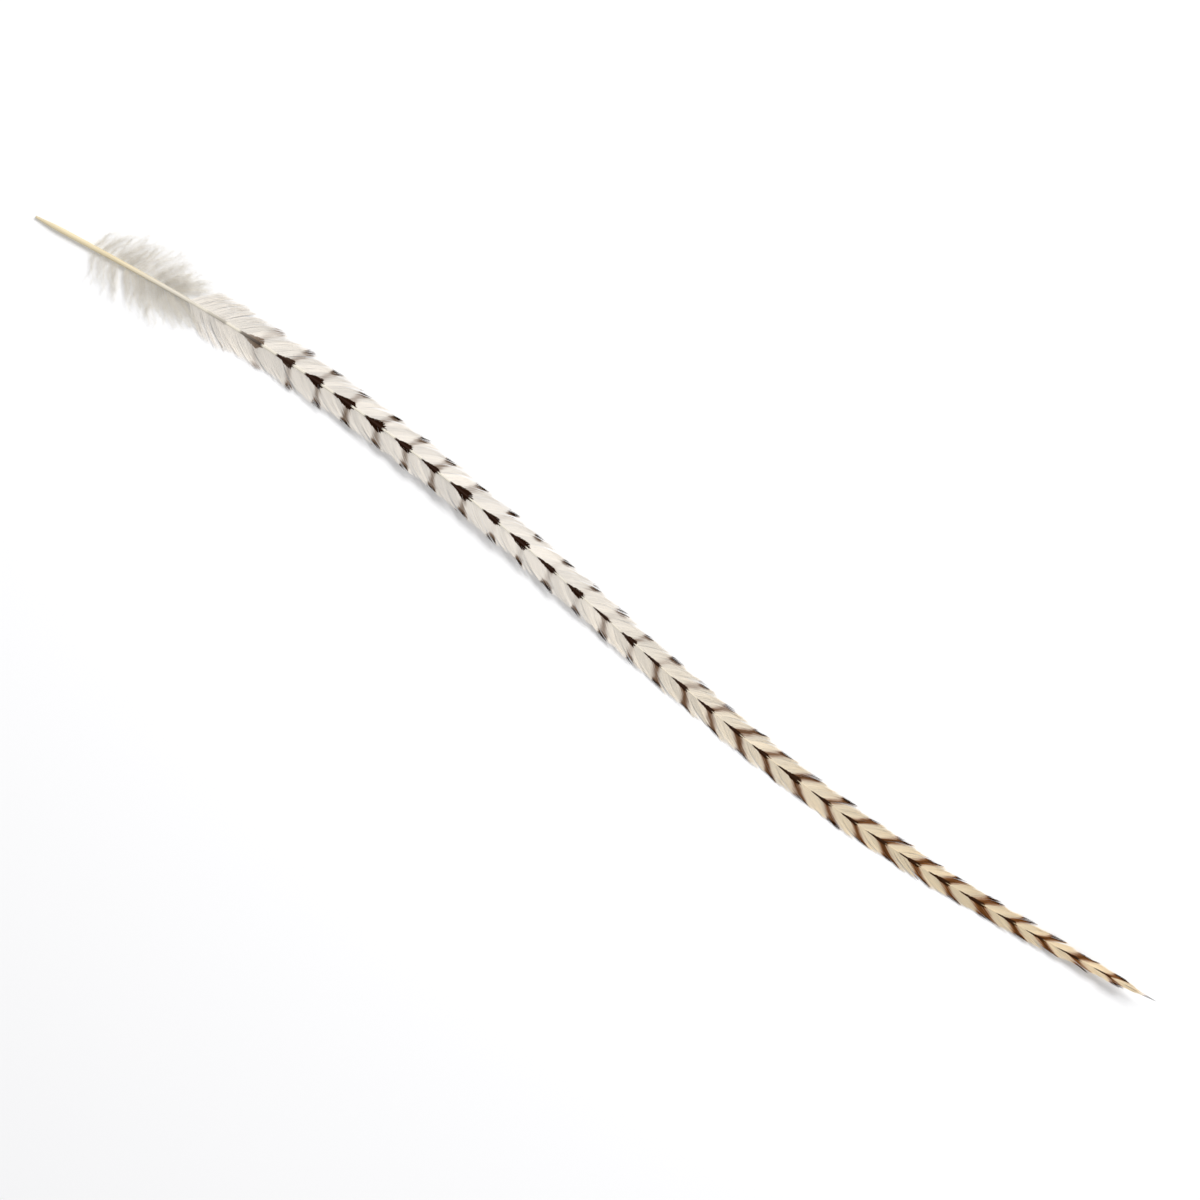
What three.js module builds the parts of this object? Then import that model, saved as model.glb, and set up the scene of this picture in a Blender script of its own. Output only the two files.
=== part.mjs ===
// A rooster's saddle feather lying on a table: a long shaft in a gentle S, a vane of swept locks on
// either side of it, and a tuft of down on either side just above the bare root.
// Millimetres, +Z up, the tip towards +X. Places along the feather are given as fractions of its
// length, 0 at the root and 1 at the tip.

import * as THREE from "three";

const { degToRad, lerp, seededRandom, smoothstep } = THREE.MathUtils;

// Whole feather
const LENGTH = 300;
const SWAY = 5.8;
const SIDE_SHIFT = -2.13;

// How it lies: the middle arches up, the tip lifts, and the margins between them touch the table
const ARCH_RISE = 2;
const ARCH_MIDDLE = 0.38;
const ARCH_REACH = 0.22;
const TIP_RISE = 4.5;
const TIP_LIFTS_FROM = 0.85;
const RIDGE_HEIGHT = 0.5;
const RIDGE_FALL = 0.4;
const RIDGE_BEGINS = 0.02;
const RIDGE_FULL = 0.1;

// Shaft
const SHAFT_END = 0.985;
const ROOT_RADIUS = 0.65;
const ROOT_END_RADIUS = 0.3;
const ROOT_POINT = 0.02;
const SHAFT_TIP_RADIUS = 0.07;
const SHAFT_TAPER = 1.8;
const SHAFT_SIDES = 12;
const SHAFT_RINGS = 48;
const RING_CROWDING = 1.25;

// Barbs: length, and angle to the shaft where they leave it and where they end
const VANE_STATIONS = [
  { at: 0.128, length: 9.2, rootAngle: 48, tipAngle: 28 },
  { at: 0.17, length: 9.6, rootAngle: 40, tipAngle: 18 },
  { at: 0.25, length: 9.8, rootAngle: 34, tipAngle: 12 },
  { at: 0.55, length: 9.8, rootAngle: 31, tipAngle: 10 },
  { at: 0.75, length: 9.0, rootAngle: 28, tipAngle: 9 },
  { at: 0.88, length: 7.6, rootAngle: 23, tipAngle: 7 },
  { at: 0.95, length: 6.2, rootAngle: 16, tipAngle: 2 },
  { at: 0.984, length: 4.8, rootAngle: 6, tipAngle: -5 },
];
const DOWN_STATIONS = [
  { at: 0.042, length: 6.0, rootAngle: 78, tipAngle: 60 },
  { at: 0.06, length: 10.5, rootAngle: 70, tipAngle: 50 },
  { at: 0.09, length: 11.5, rootAngle: 62, tipAngle: 42 },
  { at: 0.124, length: 10.2, rootAngle: 50, tipAngle: 30 },
];

// Locks: pointed groups of barbs that leave notches in the margin
const VANE_LOCKS = 32;
const VANE_NOTCH = 0.3;
const DOWN_LOCKS = 6;
const DOWN_NOTCH = 0.38;
const ROWS_PER_LOCK = 5;
const LOCK_POINT = 0.6;
const SHALLOWEST_NOTCH = 0.7;
const COLUMNS = [0, 0.4, 0.7, 1];

// Solid thickness of the barbs, from the shaft to the margin, and how they hang from the shaft
const SHAFT_GAP = 0.1;
const INNER_THICKNESS = 0.45;
const MARGIN_THICKNESS = 0.16;
const TIP_THINNING = 0.5;
const SEAT = 0.15;
const FLAT_FROM = 0.58;
const DROOP = 1.3;

const LEFT = 1;
const RIGHT = -1;

const HORN = new THREE.MeshStandardMaterial({ color: 0xe6dac0, roughness: 0.45, metalness: 0 });
const BARBS = new THREE.MeshStandardMaterial({ color: 0xded5c3, roughness: 0.8, metalness: 0 });
const FLUFF = new THREE.MeshStandardMaterial({ color: 0xc9c3b8, roughness: 0.95, metalness: 0 });

// Height of the feather's lowest edge above the table
function lift(at) {
  const offset = (at - ARCH_MIDDLE) / ARCH_REACH;
  const arch = ARCH_RISE * Math.max(0, 1 - offset ** 2) ** 2;
  const tip = Math.max(0, (at - TIP_LIFTS_FROM) / (1 - TIP_LIFTS_FROM));
  return arch + TIP_RISE * tip ** 2;
}

function shaftRadius(at) {
  const taper = Math.max(0, 1 - at / SHAFT_END) ** SHAFT_TAPER;
  const radius = lerp(SHAFT_TIP_RADIUS, ROOT_RADIUS, taper);
  return lerp(ROOT_END_RADIUS, radius, smoothstep(at, 0, ROOT_POINT));
}

// Height of the shaft's axis above the feather's lowest edge
function shaftHeight(at) {
  const ridge = RIDGE_HEIGHT * Math.max(0, 1 - at) ** RIDGE_FALL;
  return shaftRadius(at) + ridge * smoothstep(at, RIDGE_BEGINS, RIDGE_FULL);
}

// Point beside the shaft's axis, out to the left by side and at a height above the table
function beside(at, side, height) {
  const phase = 2 * Math.PI * at;
  const slope = SWAY * 2 * Math.PI * Math.cos(phase) / LENGTH;
  const outward = new THREE.Vector2(-slope, 1).normalize();
  const x = (at - 0.5) * LENGTH + outward.x * side;
  const y = SIDE_SHIFT + SWAY * Math.sin(phase) + outward.y * side;
  return new THREE.Vector3(x, y, height);
}

// Moves every vertex of a geometry to the place that a function gives for it
function reshape(geometry, place) {
  const position = geometry.getAttribute("position");
  const vertex = new THREE.Vector3();
  for (let i = 0; i < position.count; i += 1) {
    vertex.fromBufferAttribute(position, i);
    position.setXYZ(i, ...place(vertex).toArray());
  }
  geometry.computeVertexNormals();
  return geometry;
}

// Round shaft turned about its axis, then laid along the feather's curve
function quillGeometry() {
  const profile = [new THREE.Vector2(0, 0)];
  for (let ring = 0; ring <= SHAFT_RINGS; ring += 1) {
    const at = SHAFT_END * (ring / SHAFT_RINGS) ** RING_CROWDING;
    profile.push(new THREE.Vector2(shaftRadius(at), at));
  }
  profile.push(new THREE.Vector2(0, SHAFT_END));
  const turned = new THREE.LatheGeometry(profile, SHAFT_SIDES);
  return reshape(turned, ({ x, y, z }) => beside(y, z, lift(y) + shaftHeight(y) + x));
}

// Length and angles of the barb that leaves the shaft at a place between two stations
function barbAt(stations, at) {
  const after = Math.max(1, stations.findIndex((station) => station.at >= at));
  const [from, to] = [stations[after - 1], stations[after]];
  const share = (at - from.at) / (to.at - from.at);
  return {
    at,
    length: lerp(from.length, to.length, share),
    rootAngle: degToRad(lerp(from.rootAngle, to.rootAngle, share)),
    tipAngle: degToRad(lerp(from.tipAngle, to.tipAngle, share)),
  };
}

// Point on a barb, which bends evenly from its root angle to its tip angle
function onBarb(barb, share, side, top) {
  const bend = lerp(barb.rootAngle, barb.tipAngle, share);
  const radius = barb.length / (barb.tipAngle - barb.rootAngle);
  const forward = radius * (Math.sin(bend) - Math.sin(barb.rootAngle));
  const outward = radius * (Math.cos(barb.rootAngle) - Math.cos(bend));
  const thinning = lerp(1, TIP_THINNING, barb.at);
  const inner = INNER_THICKNESS * thinning;
  const thickness = lerp(inner, MARGIN_THICKNESS * thinning, share);
  const seat = shaftHeight(barb.at) + SEAT * shaftRadius(barb.at) - inner / 2;
  const droop = Math.max(0, 1 - share / FLAT_FROM) ** DROOP;
  const at = barb.at + forward / LENGTH;
  const offset = shaftRadius(barb.at) + SHAFT_GAP + outward;
  return beside(at, side * offset, lift(at) + seat * droop + top * thickness);
}

// Share of a barb's full length that it reaches at a place within its lock
function lockReach(row, notch) {
  const lock = Math.floor(row / ROWS_PER_LOCK);
  const within = row / ROWS_PER_LOCK - lock;
  const rising = 1 - within / LOCK_POINT;
  const falling = (within - LOCK_POINT) / (1 - LOCK_POINT);
  const depth = notch * lerp(SHALLOWEST_NOTCH, 1, seededRandom(lock + 1));
  return 1 - depth * Math.max(rising, falling);
}

// One side's barbs as a closed sheet: a block of rows and columns laid along the barbs, whose last
// row is the last lock's point
function sheetGeometry(stations, locks, notch, side) {
  const rows = Math.round((locks - 1 + LOCK_POINT) * ROWS_PER_LOCK);
  const steps = COLUMNS.length - 1;
  const block = new THREE.BoxGeometry(1, 1, 1, rows, steps, 1);
  const first = stations[0].at;
  const last = stations[stations.length - 1].at;
  return reshape(block, ({ x, y, z }) => {
    const row = Math.round((x + 0.5) * rows);
    const column = Math.round((0.5 + side * y) * steps);
    const barb = barbAt(stations, lerp(first, last, row / rows));
    const share = COLUMNS[column] * lockReach(row, notch);
    return onBarb(barb, share, side, z + 0.5);
  });
}

function piece(name, geometry, material) {
  const mesh = new THREE.Mesh(geometry, material);
  mesh.name = name;
  return mesh;
}

const feather = new THREE.Group();
feather.add(piece("quill", quillGeometry(), HORN));
for (const [word, side] of [["left", LEFT], ["right", RIGHT]]) {
  const vane = sheetGeometry(VANE_STATIONS, VANE_LOCKS, VANE_NOTCH, side);
  const down = sheetGeometry(DOWN_STATIONS, DOWN_LOCKS, DOWN_NOTCH, side);
  feather.add(piece(`${word}_vane`, vane, BARBS));
  feather.add(piece(`${word}_down`, down, FLUFF));
}

export default feather;
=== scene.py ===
"""A barred rooster saddle feather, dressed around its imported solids.

Sizes are in millimetres until a mesh is made. A place along the feather is a share of its length,
0 at the root and 1 at the tip, and a place along a barb is a share of that barb's length.
"""

import logging
import math
from dataclasses import dataclass
from enum import Enum

import bmesh
import bpy
import numpy as np
from mathutils import Matrix, Vector


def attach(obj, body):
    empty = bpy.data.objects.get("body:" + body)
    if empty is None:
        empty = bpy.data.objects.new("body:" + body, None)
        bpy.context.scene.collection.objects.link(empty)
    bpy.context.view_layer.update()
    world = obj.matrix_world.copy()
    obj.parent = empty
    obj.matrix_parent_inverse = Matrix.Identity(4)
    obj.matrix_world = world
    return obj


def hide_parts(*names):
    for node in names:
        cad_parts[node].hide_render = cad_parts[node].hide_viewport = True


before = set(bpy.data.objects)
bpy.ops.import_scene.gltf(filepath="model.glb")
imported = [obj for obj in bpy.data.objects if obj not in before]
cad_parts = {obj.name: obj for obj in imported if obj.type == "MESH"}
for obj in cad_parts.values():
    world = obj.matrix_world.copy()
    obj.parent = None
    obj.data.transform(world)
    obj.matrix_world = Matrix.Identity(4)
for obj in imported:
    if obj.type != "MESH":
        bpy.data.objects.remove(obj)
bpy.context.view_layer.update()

Array = np.ndarray
Range = tuple[float, float]
Colour = tuple[float, float, float, float]
Curve = tuple[tuple[float, float], ...]
Socket = bpy.types.NodeSocket
Material = bpy.types.Material
Piece = bpy.types.Object

MM = 0.001
UP = np.array((0.0, 0.0, 1.0))
BODY = "root"
BAKE_MAP = "OFBake"
LOG = logging.getLogger("feather")


def smooth(value: Array | float, low: float, high: float) -> Array:
    """Eases from 0 where a value is low to 1 where it is high."""
    share = np.clip((np.asarray(value, float) - low) / (high - low), 0.0, 1.0)
    return share * share * (3.0 - 2.0 * share)


def mix(first: Array | float, second: Array | float, share: Array | float) -> Array:
    """Goes from first at a share of 0 to second at a share of 1."""
    return first + (second - first) * share


def screen(red: int, green: int, blue: int) -> Colour:
    """Turns a screen colour into the linear colour that a shader takes.

    Args:
        red: Red from 0 to 255.
        green: Green from 0 to 255.
        blue: Blue from 0 to 255.

    Returns:
        The opaque linear colour.
    """
    parts = np.array((red, green, blue)) / 255
    bright = np.where(parts <= 0.04045, parts / 12.92, ((parts + 0.055) / 1.055) ** 2.4)
    return (*bright.tolist(), 1.0)


class Side(Enum):
    """The feather's two sides, seen from above with the tip ahead."""

    LEFT = 1
    RIGHT = -1

    @property
    def word(self) -> str:
        """The side's name as the nodes spell it."""
        return self.name.lower()


class Slot(Enum):
    """Names of the feather's three kinds of piece: quill, vane and down."""

    QUILL = "quill"
    VANE = "vane"
    DOWN = "down"


@dataclass(frozen=True)
class FeatherLine:
    """The line that the shaft follows, and how high each stretch of it lies above the table."""

    length: float = 300.0
    sway: float = 5.8
    side_shift: float = -2.13
    arch_rise: float = 2.0
    arch_middle: float = 0.38
    arch_reach: float = 0.22
    tip_rise: float = 4.5
    tip_lifts_from: float = 0.85
    ridge_height: float = 0.5
    ridge_fall: float = 0.4
    ridge_grows: Range = (0.02, 0.1)
    shaft_end: float = 0.985
    root_radius: float = 0.65
    root_end_radius: float = 0.3
    root_point: float = 0.02
    shaft_tip_radius: float = 0.07
    shaft_taper: float = 1.8

    def lift(self, at: Array) -> Array:
        """Gives the height of the feather's lowest edge above the table.

        Args:
            at: Places along the feather.

        Returns:
            Heights in millimetres.
        """
        offset = (at - self.arch_middle) / self.arch_reach
        arch = self.arch_rise * np.maximum(0.0, 1.0 - offset**2) ** 2
        tip = np.maximum(0.0, (at - self.tip_lifts_from) / (1.0 - self.tip_lifts_from))
        return arch + self.tip_rise * tip**2

    def radius(self, at: Array) -> Array:
        """Gives the shaft's radius.

        Args:
            at: Places along the feather.

        Returns:
            Radii in millimetres.
        """
        taper = np.maximum(0.0, 1.0 - at / self.shaft_end) ** self.shaft_taper
        plain = mix(self.shaft_tip_radius, self.root_radius, taper)
        return mix(self.root_end_radius, plain, smooth(at, 0.0, self.root_point))

    def axis_height(self, at: Array) -> Array:
        """Gives the height of the shaft's axis above the feather's lowest edge."""
        ridge = self.ridge_height * np.maximum(0.0, 1.0 - at) ** self.ridge_fall
        return self.radius(at) + ridge * smooth(at, *self.ridge_grows)

    def beside(self, at: Array, out: Array, height: Array) -> Array:
        """Gives points beside the shaft's axis.

        Args:
            at: Places along the feather.
            out: Distances from the axis, to the left where positive.
            height: Heights above the table.

        Returns:
            Points in millimetres, with X, Y and Z as the last dimension.
        """
        phase = math.tau * at
        slope = self.sway * math.tau * np.cos(phase) / self.length
        stretch = np.hypot(slope, 1.0)
        x = (at - 0.5) * self.length - out * slope / stretch
        y = self.side_shift + self.sway * np.sin(phase) + out / stretch
        return np.stack(np.broadcast_arrays(x, y, height), axis=-1)

    def axis(self, at: Array) -> Array:
        """Gives points on the shaft's axis."""
        return self.beside(at, np.zeros_like(at), self.lift(at) + self.axis_height(at))


@dataclass(frozen=True)
class Stations:
    """Barb lengths and angles to the shaft at places along the feather."""

    at: tuple[float, ...]
    length: tuple[float, ...]
    root_angle: tuple[float, ...]
    tip_angle: tuple[float, ...]

    def blend(self, at: Array) -> tuple[Array, Array, Array]:
        """Reads the values between the stations.

        Args:
            at: Places along the feather.

        Returns:
            Lengths in millimetres, and root and tip angles in radians.
        """
        length = np.interp(at, self.at, self.length)
        root = np.radians(np.interp(at, self.at, self.root_angle))
        tip = np.radians(np.interp(at, self.at, self.tip_angle))
        return length, root, tip


VANE_STATIONS = Stations(
    at=(0.128, 0.17, 0.25, 0.55, 0.75, 0.88, 0.95, 0.984),
    length=(9.2, 9.6, 9.8, 9.8, 9.0, 7.6, 6.2, 4.8),
    root_angle=(48, 40, 34, 31, 28, 23, 16, 6),
    tip_angle=(28, 18, 12, 10, 9, 7, 2, -5),
)
DOWN_STATIONS = Stations(
    at=(0.042, 0.06, 0.09, 0.124),
    length=(6.0, 10.5, 11.5, 10.2),
    root_angle=(78, 70, 62, 50),
    tip_angle=(60, 50, 42, 30),
)


@dataclass
class Barbs:
    """Barbs that bend evenly from their root angle to their tip angle.

    Attributes:
        root: Places of their roots along the feather, one barb to a row.
        length: Full lengths, in the same way.
        root_angle: Angles to the shaft at the root, in radians.
        tip_angle: The same at the tip.
    """

    root: Array
    length: Array
    root_angle: Array
    tip_angle: Array

    @classmethod
    def at_stations(cls, stations: Stations, root: Array) -> "Barbs":
        """Takes the barbs' sizes from the stations around their roots."""
        column = root[:, None]
        return cls(column, *stations.blend(column))

    @property
    def bend(self) -> Array:
        """How far each barb turns, in radians."""
        return self.tip_angle - self.root_angle

    def forward(self, share: Array | float) -> Array:
        """Gives how far towards the feather's tip a barb has gone at a share of its length."""
        end = np.sin(self.root_angle + self.bend * share)
        return self.length / self.bend * (end - np.sin(self.root_angle))

    def outward(self, share: Array | float) -> Array:
        """Gives how far out from the shaft a barb has gone at a share of its length."""
        end = np.cos(self.root_angle + self.bend * share)
        return self.length / self.bend * (np.cos(self.root_angle) - end)


@dataclass(frozen=True)
class Bars:
    """The dark bars' places along the shaft, as far apart as the vanes' locks and a little uneven."""

    pitch: float = 8.127
    start: float = 2.3
    unevenness: float = 0.12
    count: int = 42
    seed: int = 11
    lead_most: float = 3.0
    lead_grows: Range = (0.48, 0.68)

    def lead(self, at: Array) -> Array:
        """Gives how far back towards the root the bars begin on the shaft, in millimetres."""
        return self.lead_most * smooth(at, *self.lead_grows)

    def phase(self, distance: Array) -> Array:
        """Counts bars along the shaft, so that each bar is one whole step.

        Args:
            distance: Distances from the root in millimetres.

        Returns:
            Bar counts with their fractions.
        """
        draw = np.random.default_rng(self.seed)
        number = np.arange(-1.0, self.count)
        shift = self.unevenness * draw.uniform(-1.0, 1.0, len(number))
        return np.interp(distance, self.start + self.pitch * (number + shift), number)


@dataclass
class Strands:
    """Tapered four-sided strands with pointed tips, with values that run along them.

    Attributes:
        centres: Points of each strand from root to tip, as strands, points and XYZ.
        widths: Full widths across, as strands and points. The tip's own is not used.
        depths: Full thicknesses, in the same way.
        values: Named numbers for the finish, in the same way. One row or column may stand for all.
        band: Lowest and highest part of the bake map that the strands fill.
        columns: Strands side by side in one row of the bake map.
    """

    centres: Array
    widths: Array
    depths: Array
    values: dict[str, Array]
    band: Range = (0.0, 1.0)
    columns: int = 150

    corner_across = np.array([0.0, 0.5, 1.0, 0.5])
    corner_rise = np.array([0.0, 1.0, 0.0, -1.0])
    cell_margin = 0.06
    cell_split = 0.02

    def __post_init__(self) -> None:
        """Gives every point of every strand its own width, depth and values."""
        shape = self.centres.shape[:2]
        self.widths = np.broadcast_to(self.widths, shape)
        self.depths = np.broadcast_to(self.depths, shape)
        self.values = {key: np.broadcast_to(held, shape) for key, held in self.values.items()}

    @property
    def rings(self) -> int:
        """Number of four-cornered rings on a strand, its pointed tip apart."""
        return self.centres.shape[1] - 1

    def points(self) -> Array:
        """Gives every vertex in millimetres.

        Returns:
            Points as strands, vertices and XYZ, with rings of four first and the tip last.
        """
        ahead = np.gradient(self.centres, axis=1)
        ahead /= np.linalg.norm(ahead, axis=2, keepdims=True)
        across = np.cross(UP, ahead)
        across /= np.linalg.norm(across, axis=2, keepdims=True)
        above = np.cross(ahead, across)
        wide = across * self.widths[..., None] / 2
        deep = above * self.depths[..., None] / 2
        corners = np.stack([wide, deep, -wide, -deep], axis=2)
        rings = self.centres[:, :-1, None, :] + corners[:, :-1]
        flat = rings.reshape(len(rings), -1, 3)
        return np.concatenate([flat, self.centres[:, -1:]], axis=1)

    def faces(self) -> tuple[Array, Array, Array]:
        """Gives one strand's walls, tip and root cap as indices into its own vertices.

        Returns:
            Quads of the wall, triangles of the tip, and the quad of the root.
        """
        ring = np.arange(4)
        after = (ring + 1) % 4
        steps = np.arange(self.rings - 1)[:, None] * 4
        wall = np.stack([steps + ring, steps + after, steps + 4 + after, steps + 4 + ring], axis=-1)
        last = (self.rings - 1) * 4
        point = np.full(4, self.rings * 4)
        tip = np.stack([last + ring, last + after, point], axis=-1)
        return wall.reshape(-1, 4), tip, ring[::-1][None]

    def spread(self, values: Array) -> Array:
        """Repeats the value of each point of a strand for that ring's four corners."""
        return np.concatenate([np.repeat(values[:, :-1], 4, axis=1), values[:, -1:]], axis=1)

    def bake_places(self) -> Array:
        """Lays each strand in a cell of its own on the bake map.

        Returns:
            Map coordinates as strands, vertices and UV.
        """
        count = len(self.centres)
        rows = math.ceil(count / self.columns)
        cell = np.arange(count)
        along = self.spread(np.linspace(0, 1, self.rings + 1)[None])
        across = np.concatenate([np.tile(self.corner_across, self.rings), [0.5]])
        split = np.concatenate([np.tile(self.corner_rise, self.rings), [0.0]]) * self.cell_split
        inset = self.cell_margin
        u = (cell[:, None] % self.columns + inset + (1 - 2 * inset) * across) / self.columns
        v = (cell[:, None] // self.columns + inset + (1 - 2 * inset) * along + split) / rows
        return np.stack([u, mix(*self.band, v)], axis=-1)


def store(mesh: bpy.types.Mesh, name: str, values: Array) -> None:
    """Writes one number on each of a mesh's points, under a name."""
    attribute = mesh.attributes.new(name, "FLOAT", "POINT")
    attribute.data.foreach_set("value", values.astype(np.float32))


def grow(name: str, fields: list[Strands]) -> Piece:
    """Joins fields of strands into one mesh object at the origin.

    Args:
        name: Name of the piece.
        fields: Strands with the same named values.

    Returns:
        The new object, with its values as attributes and its bake map.
    """
    points, faces, places = [], [], []
    start = 0
    for strands in fields:
        grown = strands.points()
        count, size = grown.shape[:2]
        first = start + np.arange(count)[:, None, None] * size
        for pattern in strands.faces():
            faces.extend((first + pattern).reshape(-1, pattern.shape[1]).tolist())
        points.append(grown.reshape(-1, 3) * MM)
        places.append(strands.bake_places().reshape(-1, 2))
        start += count * size
    mesh = bpy.data.meshes.new(name)
    mesh.from_pydata(np.concatenate(points).tolist(), [], faces)
    for key in fields[0].values:
        held = [strands.spread(strands.values[key]).ravel() for strands in fields]
        store(mesh, key, np.concatenate(held))
    corners = np.empty(len(mesh.loops), dtype=np.int32)
    mesh.loops.foreach_get("vertex_index", corners)
    layer = mesh.uv_layers.new(name=BAKE_MAP)
    layer.data.foreach_set("uv", np.concatenate(places)[corners].astype(np.float32).ravel())
    piece = bpy.data.objects.new(name, mesh)
    bpy.context.scene.collection.objects.link(piece)
    return piece


class NodeSheet:
    """A new material's nodes, with short calls that add nodes and join their sockets."""

    def __init__(self, name: str) -> None:
        """Starts an empty material.

        Args:
            name: Its name.
        """
        self.material = bpy.data.materials.new(name)
        self.material.use_nodes = True
        self.tree = self.material.node_tree
        self.tree.nodes.clear()

    def node(self, kind: str, inputs: dict | None = None, **settings: object) -> bpy.types.Node:
        """Adds a node.

        Args:
            kind: Node type without its ShaderNode prefix.
            inputs: Input names or numbers, with a value or a socket to join to each.
            settings: Properties of the node itself.

        Returns:
            The new node.
        """
        node = self.tree.nodes.new("ShaderNode" + kind)
        for key, value in settings.items():
            setattr(node, key, value)
        for key, value in (inputs or {}).items():
            if isinstance(value, Socket):
                self.tree.links.new(value, node.inputs[key])
            else:
                node.inputs[key].default_value = value
        return node

    def math(self, operation: str, *values: object) -> Socket:
        """Adds a Math node on those values and gives its result."""
        return self.node("Math", dict(enumerate(values)), operation=operation).outputs[0]

    def attribute(self, name: str) -> Socket:
        """Reads one of the mesh's own values."""
        return self.node("Attribute", attribute_name=name).outputs["Fac"]

    def between(self, share: object, first: float, second: float) -> Socket:
        """Goes from first at a share of 0 to second at a share of 1."""
        return self.math("MULTIPLY_ADD", share, second - first, first)

    def step(self, value: object, low: object, high: object) -> Socket:
        """Eases from 0 at low to 1 at high."""
        inputs = {"Value": value, "From Min": low, "From Max": high}
        return self.node("MapRange", inputs, interpolation_type="SMOOTHSTEP").outputs["Result"]

    def curve(self, value: object, stops: Curve) -> Socket:
        """Reads a number off a curve through a few stops.

        Args:
            value: Socket with the place on the curve, from 0 to 1.
            stops: Its places in order, each with the curve's height there.

        Returns:
            The height, from 0 to 1.
        """
        ramp = self.node("ValToRGB", {"Fac": value})
        ramp.color_ramp.interpolation = "EASE"
        elements = ramp.color_ramp.elements
        while len(elements) < len(stops):
            elements.new(0.5)
        for element, (place, height) in zip(elements, stops):
            element.position = place
            element.color = (height, height, height, 1.0)
        return self.math("ADD", ramp.outputs["Color"], 0.0)

    def blend(self, share: object, first: object, second: object, how: str = "MIX") -> Socket:
        """Mixes two colours by a share, in one of Blender's ways of blending."""
        inputs = {0: share, 6: first, 7: second}
        return self.node("Mix", inputs, data_type="RGBA", blend_type=how).outputs[2]

    def noise(self, scale: float, detail: float = 2.0, stretch: tuple = (1, 1, 1)) -> Socket:
        """Adds noise that is fixed to the piece.

        Args:
            scale: Patches to the metre.
            detail: How many finer layers it has.
            stretch: Its density along X, Y and Z.

        Returns:
            A number around 0.5.
        """
        place = self.node("TexCoord").outputs["Object"]
        mapped = self.node("Mapping", {"Vector": place, "Scale": stretch}).outputs["Vector"]
        inputs = {"Vector": mapped, "Scale": scale, "Detail": detail}
        return self.node("TexNoise", inputs).outputs["Fac"]

    def chance(self, number: object) -> Socket:
        """Gives an even number from 0 to 1 that depends on another number alone."""
        return self.node("TexWhiteNoise", {"W": number}, noise_dimensions="1D").outputs["Value"]

    def finish(self, inputs: dict, translucency: float = 0.0) -> Material:
        """Adds the shader and joins it to the output.

        Args:
            inputs: Inputs of the Principled shader.
            translucency: Share of the light that goes through.

        Returns:
            The finished material.
        """
        surface = self.node("BsdfPrincipled", inputs).outputs[0]
        if translucency:
            through = self.node("BsdfTranslucent", {"Color": inputs["Base Color"]}).outputs[0]
            both = self.node("MixShader", {0: translucency, 1: surface, 2: through})
            surface = both.outputs[0]
        self.node("OutputMaterial", {"Surface": surface})
        return self.material


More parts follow.
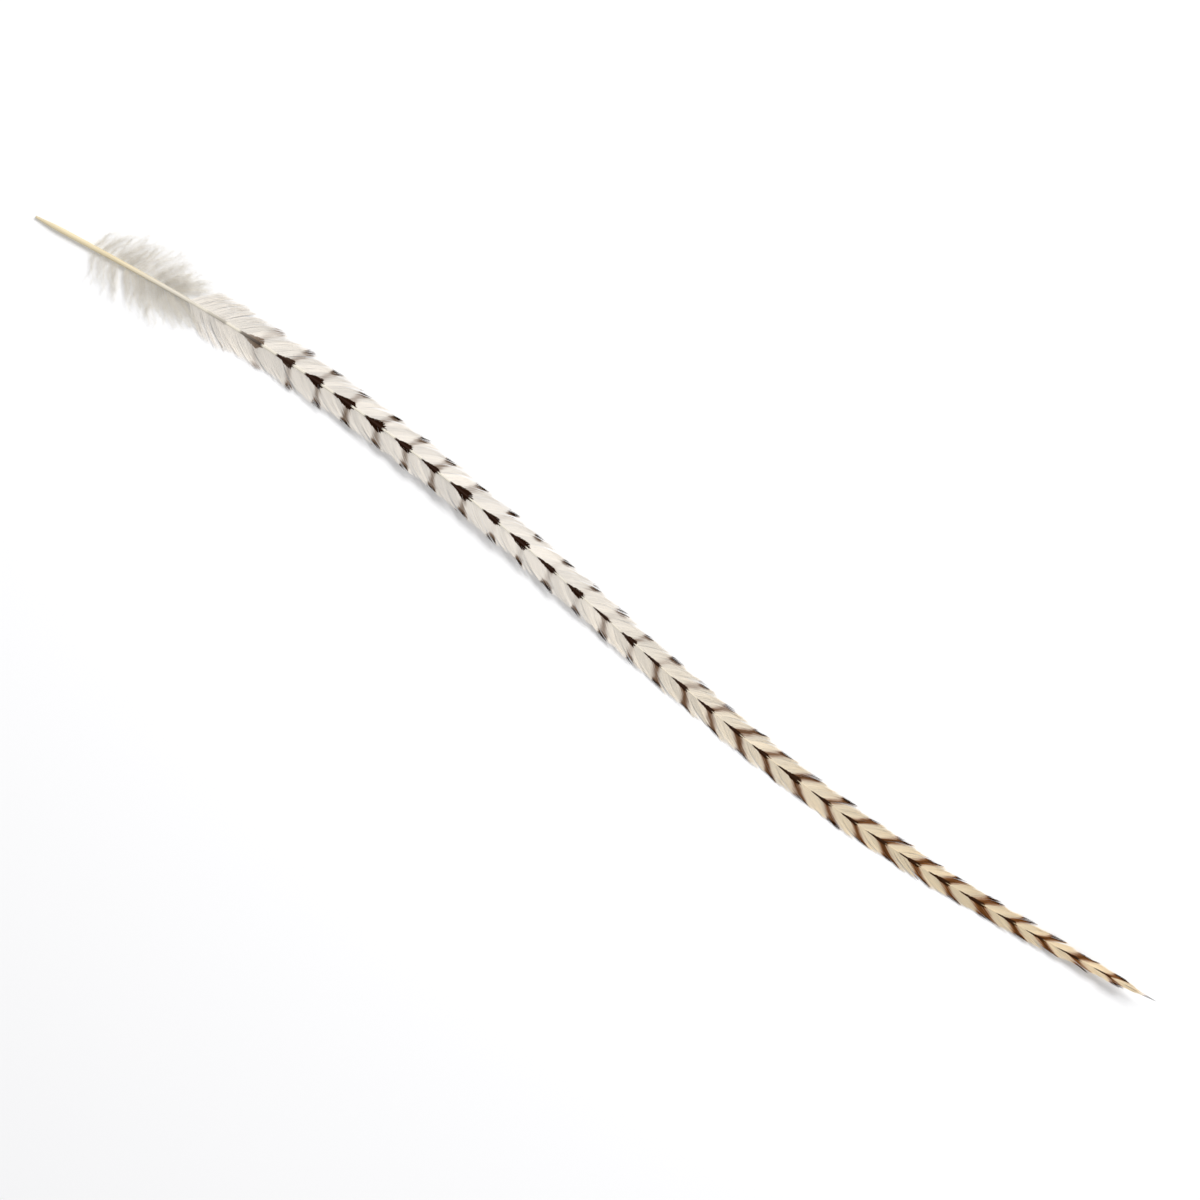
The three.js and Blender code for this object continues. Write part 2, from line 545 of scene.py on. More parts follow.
@dataclass(frozen=True)
class BarredFinish:
    """Cream barbs that warm to honey, crossed by dark brown chevrons with rusty edges."""

    cream: Colour = screen(255, 251, 245)
    honey: Colour = screen(252, 239, 211)
    dun: Colour = screen(152, 127, 104)
    rust: Colour = screen(170, 108, 52)
    brown: Colour = screen(48, 26, 14)
    umber: Colour = screen(66, 38, 18)
    warms: Range = (0.42, 0.87)
    bars_grow: Range = (0.13, 0.24)
    arm_middle: float = 0.5
    arm_edge: Curve = ((0.0, 0.06), (0.4, 0.1), (0.6, 0.1), (0.85, 0.05))
    arm_half: Curve = ((0.0, 0.13), (0.3, 0.1), (0.55, 0.1), (0.8, 0.13), (1.0, 0.16))
    arm_fullness: Curve = ((0.0, 0.5), (0.25, 0.05), (0.5, 0.0), (0.75, 0.55), (0.87, 1.0))
    warm_half: float = 1.45
    warm_edge: float = 1.9
    body_reach: Curve = (
        (0.02, 0.0), (0.18, 0.4), (0.36, 0.8), (0.54, 0.92), (0.7, 0.54), (0.84, 0.0)
    )
    body_edge: float = 0.2
    body_swell: Range = (0.75, 1.25)
    early_body: float = 1.5
    body_shrinks: Range = (0.28, 0.5)
    wander: Range = (-0.08, 0.08)
    wander_patches: float = 330.0
    edge_full: float = 0.6
    bar_from: float = 0.3
    shade: Range = (0.84, 1.04)
    sheen: Range = (0.2, 0.02)
    roughness: Range = (0.5, 0.65)
    translucency: float = 0.45

    def darkness(self, sheet: NodeSheet, warm: Socket) -> Socket:
        """Draws the bars: a teardrop along the shaft, and an arm that sweeps out to the margin.

        Args:
            sheet: Nodes to add to.
            warm: Share of honey in the ground colour.

        Returns:
            A number from 0 on the ground colour to 1 on a bar.
        """
        out = sheet.attribute("out")
        along = sheet.attribute("along")
        wander = sheet.between(sheet.noise(self.wander_patches), *self.wander)
        count = sheet.math("ADD", sheet.attribute("bar"), wander)
        place = sheet.math("FRACT", count)
        number = sheet.math("FLOOR", count)
        away = sheet.math("ABSOLUTE", sheet.math("SUBTRACT", place, self.arm_middle))
        half = sheet.curve(out, self.arm_half)
        half = sheet.math("MULTIPLY", half, sheet.between(warm, 1.0, self.warm_half))
        edge = sheet.curve(out, self.arm_edge)
        edge = sheet.math("MULTIPLY", edge, sheet.between(warm, 1.0, self.warm_edge))
        inner = sheet.math("SUBTRACT", half, edge)
        outer = sheet.math("ADD", half, edge)
        arm = sheet.math("SUBTRACT", 1.0, sheet.step(away, inner, outer))
        # On the right vane the veil also carries painted shade: arms darkened where shade falls on
        # that side
        fullness = sheet.math("MAXIMUM", sheet.curve(out, self.arm_fullness), sheet.attribute("veil"))
        arm = sheet.math("MULTIPLY", arm, fullness)
        swell = sheet.between(sheet.chance(number), *self.body_swell)
        reach = sheet.math("MULTIPLY", sheet.curve(place, self.body_reach), swell)
        shrunk = sheet.step(along, *self.body_shrinks)
        reach = sheet.math("MULTIPLY", reach, sheet.between(shrunk, self.early_body, 1.0))
        inside = sheet.math("SUBTRACT", reach, sheet.attribute("off"))
        body = sheet.step(inside, 0.0, self.body_edge)
        fade = sheet.step(along, *self.bars_grow)
        return sheet.math("MULTIPLY", sheet.math("MAXIMUM", arm, body), fade)

    def material(self) -> Material:
        """Makes the finish.

        Returns:
            The new material.
        """
        sheet = NodeSheet("barred_barbs")
        strand = sheet.attribute("strand")
        warm = sheet.step(sheet.attribute("along"), *self.warms)
        shade = sheet.between(strand, *self.shade)
        ground = sheet.blend(warm, self.cream, self.honey)
        ground = sheet.blend(1.0, ground, shade, "MULTIPLY")
        dark = self.darkness(sheet, warm)
        edge = sheet.blend(warm, self.dun, self.rust)
        colour = sheet.blend(sheet.step(dark, 0.0, self.edge_full), ground, edge)
        bar = sheet.blend(warm, self.brown, self.umber)
        colour = sheet.blend(sheet.step(dark, self.bar_from, 1.0), colour, bar)
        rough = sheet.between(strand, *self.roughness)
        sheen = sheet.between(dark, *self.sheen)
        inputs = {"Base Color": colour, "Roughness": rough, "Specular IOR Level": sheen}
        return sheet.finish(inputs, self.translucency)


@dataclass(frozen=True)
class HornFinish:
    """Ivory horn, clear and yellowish at the bare root, dark where the bars cross it."""

    ivory: Colour = screen(218, 211, 196)
    root: Colour = screen(226, 211, 176)
    honey: Colour = screen(222, 199, 158)
    brown: Colour = screen(44, 26, 17)
    root_fades: Range = (0.06, 0.12)
    warms: Range = (0.45, 0.85)
    bars_grow: Range = (0.12, 0.2)
    bar_begins: Range = (0.07, 0.17)
    bar_ends: Range = (0.65, 0.75)
    grain_patches: float = 900.0
    grain_layers: float = 3.0
    grain_stretch: tuple[float, float, float] = (0.08, 1.0, 1.0)
    grain_bump: float = 0.25
    grain_depth: float = 0.05
    grain_roughness: Range = (-0.1, 0.1)
    shade: Range = (0.83, 1.13)
    sheen: Range = (0.35, 0.05)
    roughness: float = 0.5
    root_roughness: float = 0.28

    def material(self) -> Material:
        """Makes the finish.

        Returns:
            The new material.
        """
        sheet = NodeSheet("quill_horn")
        along = sheet.attribute("along")
        grain = sheet.noise(self.grain_patches, self.grain_layers, self.grain_stretch)
        dry = sheet.step(along, *self.root_fades)
        ground = sheet.blend(dry, self.root, self.ivory)
        warm = sheet.step(along, *self.warms)
        ground = sheet.blend(warm, ground, self.honey)
        shade = sheet.between(grain, *self.shade)
        ground = sheet.blend(1.0, ground, shade, "MULTIPLY")
        place = sheet.math("FRACT", sheet.attribute("bar"))
        begun = sheet.step(place, *self.bar_begins)
        ended = sheet.step(place, *self.bar_ends)
        bar = sheet.math("SUBTRACT", begun, ended)
        bar = sheet.math("MULTIPLY", bar, sheet.step(along, *self.bars_grow))
        rough = sheet.between(dry, self.root_roughness, self.roughness)
        bump = {"Strength": self.grain_bump, "Distance": self.grain_depth * MM, "Height": grain}
        inputs = {
            "Base Color": sheet.blend(bar, ground, self.brown),
            "Roughness": sheet.math("ADD", rough, sheet.between(grain, *self.grain_roughness)),
            "Normal": sheet.node("Bump", bump).outputs["Normal"],
            "Specular IOR Level": sheet.between(bar, *self.sheen),
        }
        return sheet.finish(inputs)


@dataclass(frozen=True)
class FluffFinish:
    """Soft pale grey down, whiter towards its ends."""

    grey: Colour = screen(234, 230, 222)
    white: Colour = screen(252, 250, 245)
    mottle_patches: float = 500.0
    shade: Range = (0.86, 1.11)
    sheen: float = 0.2
    roughness: float = 0.85
    translucency: float = 0.5

    def material(self) -> Material:
        """Makes the finish.

        Returns:
            The new material.
        """
        sheet = NodeSheet("soft_down")
        both = sheet.math("ADD", sheet.attribute("out"), sheet.attribute("strand"))
        colour = sheet.blend(sheet.math("DIVIDE", both, 2.0), self.grey, self.white)
        shade = sheet.between(sheet.noise(self.mottle_patches), *self.shade)
        colour = sheet.blend(1.0, colour, shade, "MULTIPLY")
        inputs = {"Base Color": colour, "Roughness": self.roughness, "Specular IOR Level": self.sheen}
        return sheet.finish(inputs, self.translucency)


def settle(piece: Piece, node: str, finish: Material) -> None:
    """Dresses a piece and lets it stand for its solid.

    Args:
        piece: The finished mesh object.
        node: The solid's name.
        finish: Its material.
    """
    piece.data.materials.clear()
    piece.data.materials.append(finish)
    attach(piece, BODY)
    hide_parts(node)
    LOG.info("%s: %d faces", piece.name, len(piece.data.polygons))


@dataclass
class Vane:
    """One side's barbs, gathered in clusters that end in points along the margin."""

    side: Side
    line: FeatherLine
    bars: Bars
    stations: Stations = VANE_STATIONS
    barbs: int = 1400
    points: int = 14
    seed: int = 5

    # Locks, and the smaller clusters that barbs cling together in
    locks: float = 31.6
    lock_point: float = 0.6
    notch: float = 0.15
    thorn: float = 0.4
    thorn_reach: float = 0.3
    cluster_size: Range = (1.0, 3.4)
    gather: Range = (0.1, 0.5)
    gather_bend: float = 1.6

    # How the barbs hang from the shaft
    shaft_gap: float = 0.1
    inner_thickness: float = 0.45
    margin_thickness: float = 0.16
    tip_thinning: float = 0.5
    seat: float = 0.15
    flat_from: float = 0.58
    droop: float = 1.3
    root_out: float = 0.4
    root_up: float = 0.8
    root_hold: int = 6
    closes_from: float = 0.972
    closes_by: float = 0.9
    clearance: float = 0.03

    # Unevenness of places, angles in degrees, lengths and heights
    root_jitter: float = 0.35
    cluster_swing: Range = (-2.0, 2.0)
    barb_swing: float = 0.7
    loose_swing: float = 2.5
    root_swing: float = 0.4
    tip_swing: float = 1.6
    shortfall: float = 0.045
    cluster_rise: Range = (-0.05, 0.12)
    cluster_curl: Range = (-0.1, 0.3)
    barb_rise: float = 0.03
    loose_rise: float = 0.3
    loose_until: float = 0.19

    # One barb's own form
    width: float = 0.15
    tip_width: float = 0.012
    width_kept: float = 0.75
    point_power: int = 5
    girth_spread: float = 0.15
    girth_limit: float = 1.5
    last_girth: float = 0.7
    depth: float = 0.04
    depth_kept: float = 0.5

    # Bars, how much of their arms shows, and tones; the right vane's stronger arms are partly painted
    # shade
    chevron: float = 4.2
    chevron_bend: float = 0.8
    body_vane: float = 3.0
    bar_stray: float = 0.02
    bar_shift: Range = (-0.03, 0.03)
    left_veil: float = 0.08
    # Right vane's arms show more: part bar pattern, part painted shade on that side
    right_veil_with_painted_shade: float = 0.22
    veil_shift: Range = (-0.14, 0.14)
    early_veil: float = 0.4
    early_fades: Range = (0.294, 0.42)
    full_veil: float = 0.7
    veil_grows: Range = (0.4, 0.75)
    cluster_shade: Range = (0.2, 0.8)
    barb_shade: float = 0.1

    def __post_init__(self) -> None:
        """Starts the side's own source of chance and sorts its barbs into clusters."""
        self.draw = np.random.default_rng(self.seed + self.side.value)
        first, last = self.stations.at[0], self.stations.at[-1]
        self.span = last - first
        jitter = self.draw.uniform(-self.root_jitter, self.root_jitter, self.barbs)
        jitter = jitter * self.span / self.barbs
        self.root = np.clip(np.linspace(first, last, self.barbs) + jitter, first, last)
        most = math.ceil(self.span * self.line.length / self.cluster_size[0]) + 1
        steps = self.draw.uniform(*self.cluster_size, most) / self.line.length
        self.edges = first + np.concatenate([[0.0], np.cumsum(steps)])
        self.cluster = np.searchsorted(self.edges, self.root, side="right") - 1

    def per_cluster(self, low: float, high: float) -> Array:
        """Draws one even number for each cluster and hands it to its barbs."""
        return self.draw.uniform(low, high, len(self.edges))[self.cluster, None]

    def per_barb(self, spread: float) -> Array:
        """Draws one number around 0 for each barb."""
        return self.draw.normal(0.0, spread, (self.barbs, 1))

    @property
    def within(self) -> Array:
        """Place of each barb within its lock, from 0 to 1."""
        return ((self.root - self.stations.at[0]) / self.span * self.locks % 1.0)[:, None]

    def reach(self) -> Array:
        """Shortens the barbs on either side of their lock's point.

        Returns:
            Share of its full length that each barb reaches.
        """
        rising = 1.0 - self.within / self.lock_point
        falling = (self.within - self.lock_point) / (1.0 - self.lock_point)
        return 1.0 - self.notch * np.maximum(rising, falling)

    def pull(self, t: Array) -> Array:
        """Draws barbs together towards their clusters' middles and their locks' points.

        Args:
            t: Places along a barb.

        Returns:
            Shifts back along the feather, as shares of its length.
        """
        middle = (self.edges[self.cluster] + self.edges[self.cluster + 1])[:, None] / 2
        gather = self.per_cluster(*self.gather)
        ahead = self.within - self.lock_point
        thorn = self.thorn * (1.0 - smooth(np.abs(ahead), 0.5 * self.thorn_reach, self.thorn_reach))
        loner = gather * (1.0 - thorn) * (self.root[:, None] - middle)
        return loner * t**self.gather_bend + thorn * ahead * self.span / self.locks * t**2

    def strands(self) -> Strands:
        """Lays out every barb.

        Returns:
            The barbs with their values for the finish.
        """
        t = np.linspace(0.0, 1.0, self.points)[None]
        plain = Barbs.at_stations(self.stations, self.root)
        loose = 1.0 - smooth(plain.root, self.stations.at[0], self.loose_until)
        swing = self.per_cluster(*self.cluster_swing)
        swing = np.radians(swing + self.per_barb(self.barb_swing) * (1.0 + self.loose_swing * loose))
        root_angle = plain.root_angle + self.root_swing * swing
        tip_angle = plain.tip_angle + self.tip_swing * swing
        barbs = Barbs(plain.root, plain.length, root_angle, tip_angle)
        share = t * self.reach() * (1.0 - np.abs(self.per_barb(self.shortfall)))
        outward = barbs.outward(share)
        at = barbs.root + barbs.forward(share) / self.line.length - self.pull(t)
        centres = self.course(barbs.root, t, share, at, outward, loose)
        taper = (1.0 - t**self.point_power) * mix(1.0, self.width_kept, t)
        girth = self.per_barb(1.0).clip(-self.girth_limit, self.girth_limit)
        girth = (1.0 + self.girth_spread * girth) * mix(1.0, self.last_girth, barbs.root)
        widths = self.width * girth * taper + self.tip_width
        depths = self.depth * mix(1.0, self.depth_kept, t)
        return Strands(centres, widths, depths, self.marks(plain, at, outward))

    def course(
        self, root: Array, t: Array, share: Array, at: Array, outward: Array, loose: Array
    ) -> Array:
        """Leads the barbs from the shaft's upper side out to the margin.

        Args:
            root: Places of the roots.
            t: Places along a barb.
            share: The same, as shares of its full length.
            at: Places reached along the feather.
            outward: Distances gone out from the shaft.
            loose: How loose each barb lies, from 0 to 1.

        Returns:
            Points of every barb in millimetres.
        """
        radius = self.line.radius(root)
        near = (1.0 - t) ** self.root_hold
        offset = mix(radius + self.shaft_gap + outward, self.root_out * radius, near)
        offset = offset * (1.0 - self.closes_by * smooth(at, self.closes_from, 1.0))
        thinning = mix(1.0, self.tip_thinning, root)
        inner = self.inner_thickness * thinning
        thickness = mix(inner, self.margin_thickness * thinning, share)
        axis = self.line.axis_height(root)
        seat = axis + self.seat * radius - inner / 2
        hang = seat * np.maximum(0.0, 1.0 - share / self.flat_from) ** self.droop + thickness / 2
        rise = self.per_cluster(*self.cluster_rise) * t + self.per_cluster(*self.cluster_curl) * t**3
        rise = rise + self.per_barb(self.barb_rise) * t
        rise = rise + np.abs(self.per_barb(self.loose_rise)) * loose * t**2
        above = mix(np.maximum(hang + rise, self.clearance), axis + self.root_up * radius, near)
        return self.line.beside(at, self.side.value * offset, self.line.lift(at) + above)

    def marks(self, barbs: Barbs, at: Array, outward: Array) -> dict[str, Array]:
        """Gives the values that the finish reads.

        Args:
            barbs: The barbs as their stations give them.
            at: Places reached along the feather.
            outward: Distances gone out from the shaft.

        Returns:
            Values along each barb by name.
        """
        full = barbs.outward(1.0)
        out = np.clip(outward / full, 0.0, 1.0)
        bend = out**self.chevron_bend
        sweep = self.chevron * bend * full / full.max() - self.bars.lead(barbs.root) * (1.0 - bend)
        bar = self.bars.phase(at * self.line.length - sweep)
        bar = bar + self.per_barb(self.bar_stray) + self.per_cluster(*self.bar_shift)
        strand = self.per_cluster(*self.cluster_shade) + self.per_barb(self.barb_shade)
        # The right side's higher veil is partly painted shade, with darker arms standing in for shade
        # on that vane
        veil = self.left_veil if self.side is Side.LEFT else self.right_veil_with_painted_shade
        veil = mix(self.early_veil, veil, smooth(barbs.root, *self.early_fades))
        veil = mix(veil, self.full_veil, smooth(barbs.root, *self.veil_grows))
        veil = veil + self.per_cluster(*self.veil_shift)
        off = (self.line.radius(barbs.root) + outward) * np.maximum(1.0, self.body_vane / full)
        names = ("out", "off", "bar", "along", "strand", "veil")
        return dict(zip(names, (out, off, bar, barbs.root, strand, veil)))

    def build(self, finish: Material) -> None:
        """Makes the vane's mesh and dresses it."""
        piece = grow(f"{self.side.word}_barbs", [self.strands()])
        settle(piece, f"{self.side.word}_vane", finish)


@dataclass
class Down:
    """One side's loose down: long wavy barbs, each fringed with short fine barbules."""

    side: Side
    line: FeatherLine
    stations: Stations = DOWN_STATIONS
    seed: int = 23
    clearance: float = 0.03

    # Long barbs
    barbs: int = 110
    points: int = 18
    crowding: float = 0.75
    shortest: float = 0.55
    width: float = 0.06
    depth: float = 0.045
    thinning: float = 0.8
    root_out: float = 0.8
    root_stray: float = 5.0
    tip_stray: float = 9.0
    lean: float = 20.0
    root_lean: float = 0.6
    leans_from: float = 0.095
    wave: float = 0.5
    turns: Range = (1.2, 2.6)
    heap: Range = (0.1, 1.2)
    fall: float = 1.4
    stem_band: Range = (0.0, 0.3)
    stem_columns: int = 30

    # Barbules
    barbules: int = 70
    fringe_span: Range = (0.06, 0.98)
    fringe_jitter: float = 0.01
    barbule_length: float = 1.3
    barbule_shortest: float = 0.5
    length_kept: float = 0.5
    barbule_width: float = 0.022
    barbule_taper: tuple[float, float, float] = (1.0, 0.7, 0.0)
    barbule_angle: float = 55.0
    angle_stray: float = 14.0
    rise: float = 0.1
    rise_stray: float = 0.35
    curl: float = 0.2
    fringe_band: Range = (0.3, 1.0)
    fringe_columns: int = 110

    def stems(self, draw: np.random.Generator) -> Strands:
        """Lays out the long barbs.

        Args:
            draw: Source of chance.

        Returns:
            The barbs.
        """
        column = (self.barbs, 1)
        first, last = self.stations.at[0], self.stations.at[-1]
        spread = np.sort(draw.uniform(0.0, 1.0, self.barbs) ** self.crowding)
        barbs = Barbs.at_stations(self.stations, mix(first, last, spread))
        barbs.length = barbs.length * draw.uniform(self.shortest, 1.0, column)
        lean = self.lean * smooth(barbs.root, self.leans_from, last)
        tip_turn = draw.normal(0.0, self.tip_stray, column) - lean
        root_turn = draw.normal(0.0, self.root_stray, column) - self.root_lean * lean
        barbs.tip_angle = barbs.tip_angle + np.radians(tip_turn)
        barbs.root_angle = barbs.root_angle + np.radians(root_turn)
        t = np.linspace(0.0, 1.0, self.points)[None]
        turns = draw.uniform(*self.turns, column)
        phase = math.tau * turns * t + draw.uniform(0.0, math.tau, column)
        at = barbs.root + (barbs.forward(t) + self.wave * t * np.sin(phase)) / self.line.length
        out = self.root_out * self.line.radius(barbs.root) + barbs.outward(t)
        heap = draw.uniform(*self.heap, column) * np.sqrt(t)
        hang = self.line.axis_height(barbs.root) * (1.0 - t) ** self.fall
        height = np.maximum(hang + heap + self.wave * t * np.cos(phase), self.clearance)
        centres = self.line.beside(at, self.side.value * out, height)
        taper = 1.0 - self.thinning * t
        values = {"out": t, "strand": draw.uniform(0.0, 1.0, column)}
        width, depth = self.width * taper, self.depth * taper
        return Strands(centres, width, depth, values, self.stem_band, self.stem_columns)

    def fringe(self, draw: np.random.Generator, stems: Strands) -> Strands:
        """Lays out the barbules along the long barbs.

        Args:
            draw: Source of chance.
            stems: The long barbs.

        Returns:
            The barbules.
        """
        count = self.barbs * self.barbules
        column = (count, 1)
        stem = np.repeat(np.arange(self.barbs), self.barbules)
        share = np.tile(np.linspace(*self.fringe_span, self.barbules), self.barbs)
        share = share + draw.uniform(-self.fringe_jitter, self.fringe_jitter, count)
        low = (share * (self.points - 1)).astype(int)
        part = (share * (self.points - 1) - low)[:, None]
        before, after = stems.centres[stem, low], stems.centres[stem, low + 1]
        begin = mix(before, after, part)
        ahead = (after - before) / np.linalg.norm(after - before, axis=1, keepdims=True)
        across = np.cross(UP, ahead)
        hand = np.where(np.arange(count) % 2 == 0, 1.0, -1.0)[:, None]
        angle = np.radians(self.barbule_angle + draw.normal(0.0, self.angle_stray, column))
        rise = draw.normal(self.rise, self.rise_stray, column) * UP
        heading = ahead * np.cos(angle) + across * hand * np.sin(angle) + rise
        share = share[:, None]
        length = self.barbule_length * draw.uniform(self.barbule_shortest, 1.0, column)
        length = length * mix(1.0, self.length_kept, share)
        steps = np.linspace(0.0, 1.0, len(self.barbule_taper))[None, :, None]
        course = begin[:, None] + (heading * length)[:, None] * steps
        course = course + (self.curl * ahead * length)[:, None] * steps**2
        course[..., 2] = np.maximum(course[..., 2], self.clearance)
        width = self.barbule_width * np.array(self.barbule_taper)
        values = {"out": share, "strand": draw.uniform(0.0, 1.0, column)}
        return Strands(course, width, width, values, self.fringe_band, self.fringe_columns)

    def build(self, finish: Material) -> None:
        """Makes the down's mesh and dresses it.

        Args:
            finish: Material of the down.
        """
        draw = np.random.default_rng(self.seed + self.side.value)
        stems = self.stems(draw)
        piece = grow(f"{self.side.word}_fluff", [stems, self.fringe(draw, stems)])
        settle(piece, f"{self.side.word}_down", finish)


@dataclass
class Quill:
    """The shaft: a round bare root that runs on into a rachis with a groove along its underside."""

    line: FeatherLine
    bars: Bars
    sides: int = 16
    rings: int = 80
    crowding: float = 1.25
    groove_from: float = 0.1
    groove_rings: int = 4
    groove_depth: float = 0.3
    groove_low: float = 0.05
    groove_half: float = 0.1
    mouth_rim: float = 0.35
    mouth_depth: float = 0.8
    mouth_narrows: float = 0.5
    bake_rows: int = 8
    bake_margin: float = 0.01
    bake_height: float = 0.6

    def ring_places(self) -> Array:
        """Gives the places of the rings along the feather."""
        return self.line.shaft_end * (np.arange(self.rings + 1) / self.rings) ** self.crowding

    def centre(self, at: float) -> Vector:
        """Gives the shaft's axis at a place, in metres."""
        return Vector(self.line.axis(np.array(at)) * MM)

    def draw_out(self) -> Piece:
        """Extrudes the shaft ring by ring from its root, and presses the groove into its underside.

        Returns:
            The new object, open in edit mode.
        """
        places = self.ring_places()
        start = self.centre(places[0])
        radius = float(self.line.radius(places[0])) * MM
        bpy.ops.mesh.primitive_circle_add(
            vertices=self.sides, radius=radius, fill_type="NGON", calc_uvs=False,
            location=start, rotation=(0.0, math.pi / 2, 0.0)
        )
        shaft = bpy.context.object
        shaft.name = "shaft"
        bpy.ops.object.transform_apply()
        bpy.ops.object.mode_set(mode="EDIT")
        bpy.ops.mesh.select_all(action="SELECT")
        grooved = 0
        for at in places[1:]:
            centre = self.centre(at)
            wider = float(self.line.radius(at)) * MM / radius
            radius *= wider
            bpy.ops.mesh.extrude_region_move(TRANSFORM_OT_translate={"value": centre - start})
            bpy.ops.transform.resize(value=(1.0, wider, wider), center_override=centre)
            start = centre
            if at > self.groove_from and grooved < self.groove_rings:
                self.press_groove(shaft, centre, radius)
                grooved += 1
        return shaft

    def press_groove(self, shaft: Piece, centre: Vector, radius: float) -> None:
        """Moves the lowest corners of the selected ring up a little.

        Args:
            shaft: The shaft, in edit mode.
            centre: Middle of the ring.
            radius: Radius of the ring.
        """
        mesh = bmesh.from_edit_mesh(shaft.data)
        ring = [corner for corner in mesh.verts if corner.select]
        low = min(corner.co.z for corner in ring) + self.groove_low * radius
        half = self.groove_half * radius
        bpy.ops.mesh.select_all(action="DESELECT")
        for corner in ring:
            inner = corner.co.z < low or abs(corner.co.y - centre.y) < half
            corner.select_set(inner and corner.co.z < centre.z)
        mesh.select_flush_mode()
        rise = self.groove_depth * radius / self.groove_rings
        bpy.ops.transform.translate(value=(0.0, 0.0, rise))
        for corner in ring:
            corner.select_set(True)
        mesh.select_flush(True)
        bmesh.update_edit_mesh(shaft.data)

    def open_mouth(self, shaft: Piece) -> None:
        """Sinks the small opening at the root's end.

        Args:
            shaft: The shaft, in edit mode.
        """
        mesh = bmesh.from_edit_mesh(shaft.data)
        bpy.ops.mesh.select_all(action="DESELECT")
        end = min(mesh.faces, key=lambda face: face.calc_center_median().x)
        end.select_set(True)
        bmesh.update_edit_mesh(shaft.data)
        rim = self.mouth_rim * self.line.root_end_radius * MM
        bpy.ops.mesh.inset(thickness=rim)
        inward = (self.mouth_depth * MM, 0.0, 0.0)
        bpy.ops.mesh.extrude_region_move(TRANSFORM_OT_translate={"value": inward})
        bpy.ops.transform.resize(value=(1.0, self.mouth_narrows, self.mouth_narrows))

    def write_values(self, shaft: Piece) -> None:
        """Stores the places that the finish reads, and lays the shaft in rows on its bake map.

        Args:
            shaft: The finished shaft, in object mode.
        """
        mesh = shaft.data
        points = np.empty(len(mesh.vertices) * 3)
        mesh.vertices.foreach_get("co", points)
        points = points.reshape(-1, 3) / MM
        at = np.clip(points[:, 0] / self.line.length + 0.5, 0.0, self.line.shaft_end)
        store(mesh, "along", at)
        store(mesh, "bar", self.bars.phase(at * self.line.length + self.bars.lead(at)))
        axis = self.line.axis(at)
        angle = np.arctan2(points[:, 2] - axis[:, 2], points[:, 1] - axis[:, 1]) / math.tau
        breaks = self.ring_places()[:: self.rings // self.bake_rows]
        layer = mesh.uv_layers.new(name=BAKE_MAP)
        margin = self.bake_margin
        for face in mesh.polygons:
            corners = list(face.vertices)
            row = int(np.clip(np.searchsorted(breaks, at[corners].mean()) - 1, 0, self.bake_rows - 1))
            low, high = breaks[row], breaks[row + 1]
            round_first = angle[corners[0]]
            for loop, corner in zip(face.loop_indices, corners):
                u = mix(margin, 1.0 - margin, (at[corner] - low) / (high - low))
                near = (angle[corner] - round_first + 0.5) % 1.0 - 0.5 + round_first
                layer.data[loop].uv = (u, (row + 0.5 + self.bake_height * near) / self.bake_rows)

    def build(self, finish: Material) -> None:
        """Models the shaft and dresses it.

        Args:
            finish: Material of the horn.
        """
        bpy.ops.object.select_all(action="DESELECT")
        shaft = self.draw_out()
        self.open_mouth(shaft)
        bpy.ops.mesh.select_all(action="SELECT")
        bpy.ops.mesh.normals_make_consistent()
        bpy.ops.object.mode_set(mode="OBJECT")
        rounding = shaft.modifiers.new("rounding", "SUBSURF")
        rounding.levels = 1
        rounding.render_levels = 1
        bpy.ops.object.modifier_apply(modifier=rounding.name)
        bpy.ops.object.shade_smooth()
        self.write_values(shaft)
        settle(shaft, "quill", finish)


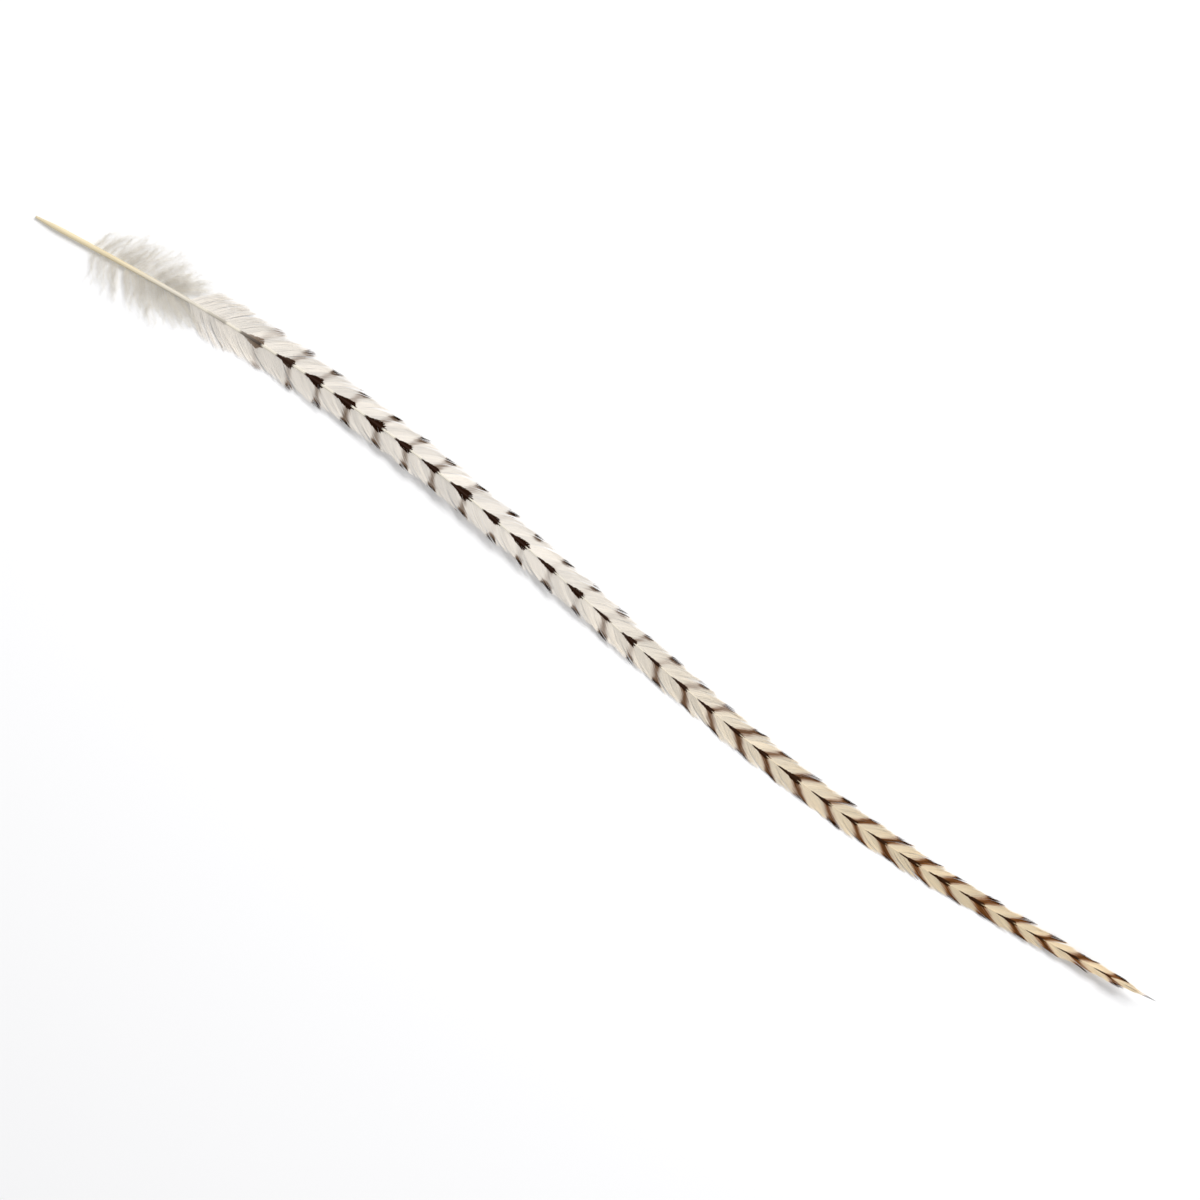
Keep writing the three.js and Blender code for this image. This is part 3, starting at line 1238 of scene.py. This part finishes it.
@dataclass
class Studio:
    """A pale table, soft light and a camera that looks straight down."""

    table_size: float = 6.0
    table_drop: float = 0.0002
    table_colour: Colour = screen(248, 248, 249)
    table_roughness: float = 0.9
    heading: float = 35.0
    frame_width: float = 0.264
    lens: float = 85.0
    sensor: float = 36.0
    sky: float = 0.6
    key_power: float = 5.4
    key_size: float = 0.35
    key_place: tuple[float, float, float] = (0.35, 0.4, 0.65)

    def table(self) -> None:
        """Lays the table just under the feather."""
        place = (0.0, 0.0, -self.table_drop)
        bpy.ops.mesh.primitive_plane_add(size=self.table_size, location=place)
        table = bpy.context.object
        table.name = "table"
        sheet = NodeSheet("pale_table")
        inputs = {"Base Color": self.table_colour, "Roughness": self.table_roughness}
        table.data.materials.append(sheet.finish(inputs))

    def lights(self) -> None:
        """Sets an even sky and one broad soft light from the picture's upper right."""
        world = bpy.data.worlds.new("studio_sky")
        bpy.context.scene.world = world
        world.use_nodes = True
        sky = world.node_tree.nodes["Background"]
        sky.inputs["Color"].default_value = (1.0, 1.0, 1.0, 1.0)
        sky.inputs["Strength"].default_value = self.sky
        turn = Matrix.Rotation(math.radians(self.heading), 3, "Z")
        place = turn @ Vector(self.key_place)
        bpy.ops.object.light_add(type="AREA", location=place)
        key = bpy.context.object
        key.name = "key_light"
        key.data.size = self.key_size
        key.data.energy = self.key_power
        key.rotation_euler = place.to_track_quat("Z", "Y").to_euler()

    def camera(self) -> None:
        """Hangs the camera over the middle of the feather, turned to the photograph's heading."""
        distance = self.frame_width * self.lens / self.sensor
        bpy.ops.object.camera_add(
            location=(0.0, 0.0, distance), rotation=(0.0, 0.0, math.radians(self.heading))
        )
        camera = bpy.context.object
        camera.name = "camera"
        camera.data.lens = self.lens
        camera.data.sensor_width = self.sensor
        bpy.context.scene.camera = camera

    def build(self) -> None:
        """Sets up the table, the lights and the camera."""
        self.table()
        self.lights()
        self.camera()
        bpy.context.scene.view_settings.view_transform = "Standard"


def corners(box: tuple) -> list[list[float]]:
    """Writes a box's two corners as plain lists."""
    return [[float(value) for value in corner] for corner in box]


def main() -> None:
    """Builds the feather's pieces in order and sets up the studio."""
    logging.basicConfig(level=logging.INFO, format="%(name)s: %(message)s")
    line = FeatherLine()
    bars = Bars()
    barred = BarredFinish().material()
    fluff = FluffFinish().material()
    Quill(line, bars).build(HornFinish().material())
    for side in Side:
        Vane(side, line, bars).build(barred)
        Down(side, line).build(fluff)
    Studio().build()


if __name__ == "__main__":
    main()
